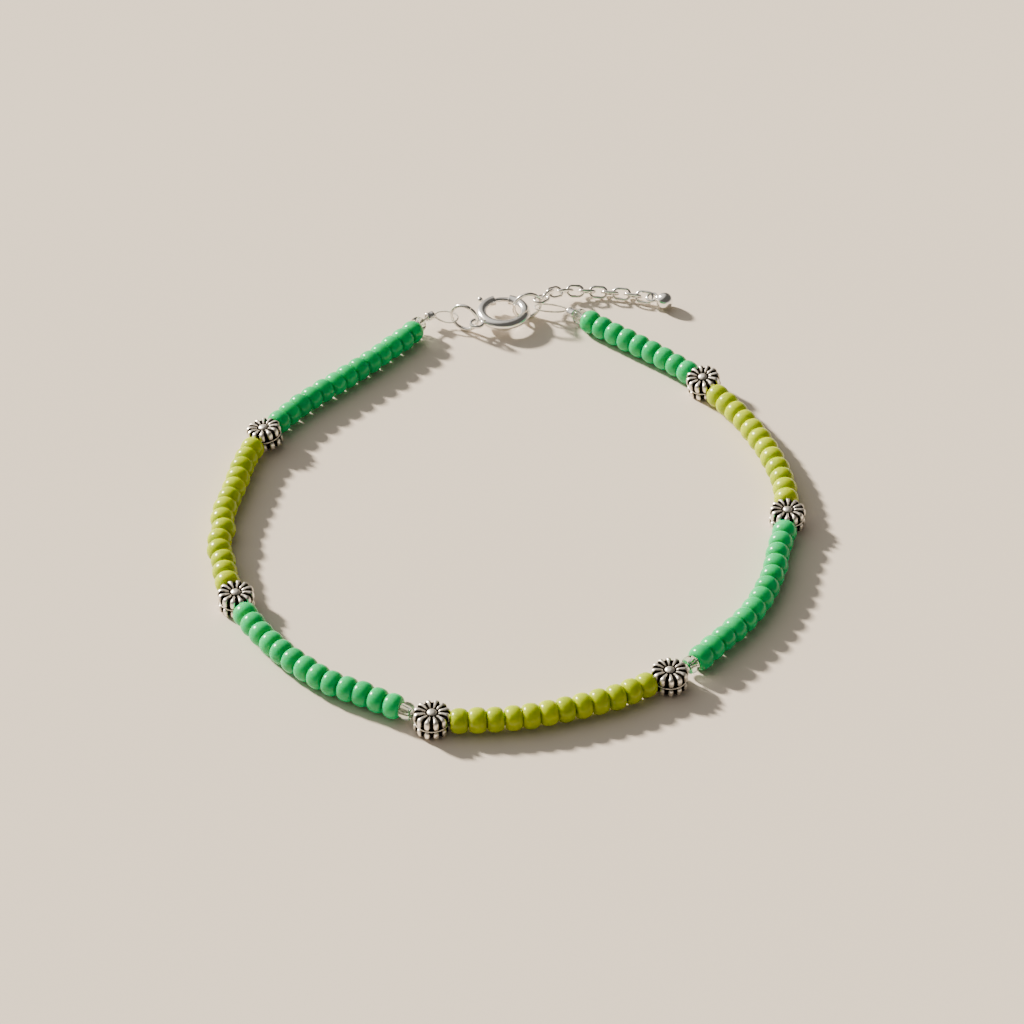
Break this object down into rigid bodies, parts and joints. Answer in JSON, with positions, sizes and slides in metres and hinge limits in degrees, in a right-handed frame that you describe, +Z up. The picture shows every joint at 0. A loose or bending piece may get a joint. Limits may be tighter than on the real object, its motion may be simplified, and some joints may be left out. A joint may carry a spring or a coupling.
{
  "type": "beaded anklet with daisy spacers and spring ring clasp",
  "caption": "Anklet of green and chartreuse glass seed beads with cast daisy spacers, a spring ring clasp and a short extension chain with an end ball.",
  "frame": {"origin": "on the surface that the anklet lies on, under the middle of its bounding box", "axes": "+Z up from that surface, +Y from the middle of the front string towards the clasp, +X towards the extension chain's end ball"},
  "size_m": [0.0769, 0.0909, 0.0043],
  "materials": {
    "green_glass": "glossy opaque green pressed glass on a thin thread",
    "chartreuse_glass": "glossy opaque yellow-green pressed glass on a thin thread",
    "clear_glass": "clear polished glass",
    "antique_silver": "cast white-metal alloy, silver-plated and antiqued dark in its hollows",
    "silver_plate": "bright polished silver plate"
  },
  "bodies": {
    "anklet": {"chain_ball": "silver_plate", "chain_link_01": "silver_plate", "chain_link_02": "silver_plate", "chain_link_03": "silver_plate", "chain_link_04": "silver_plate", "chain_link_05": "silver_plate", "chain_link_06": "silver_plate", "chain_link_07": "silver_plate", "chain_link_08": "silver_plate", "chain_link_09": "silver_plate", "chain_link_10": "silver_plate", "chain_link_11": "silver_plate", "chartreuse_string_1": "chartreuse_glass", "chartreuse_string_2": "chartreuse_glass", "chartreuse_string_3": "chartreuse_glass", "clasp_ring": "silver_plate", "clear_bead_1": "clear_glass", "clear_bead_2": "clear_glass", "clear_bead_3": "clear_glass", "clear_bead_4": "clear_glass", "crimp_left": "silver_plate", "crimp_right": "silver_plate", "daisy_1": "antique_silver", "daisy_2": "antique_silver", "daisy_3": "antique_silver", "daisy_4": "antique_silver", "daisy_5": "antique_silver", "daisy_6": "antique_silver", "green_string_1": "green_glass", "green_string_2": "green_glass", "green_string_3": "green_glass", "green_string_4": "green_glass", "jump_ring_left": "silver_plate", "jump_ring_right": "silver_plate"},
    "bolt": {"clasp_bolt": "silver_plate"}
  },
  "joints": [
    {"name": "bolt_slide_round_ring", "type": "hinge", "parent": "anklet", "child": "bolt", "pos_m": [-0.0006, 0.0389, 0.0017], "axis": [0, 0, 1], "range_deg": [0, 40], "stiffness_Nm_per_rad": 0.0002, "springref_deg": -11.46}
  ]
}
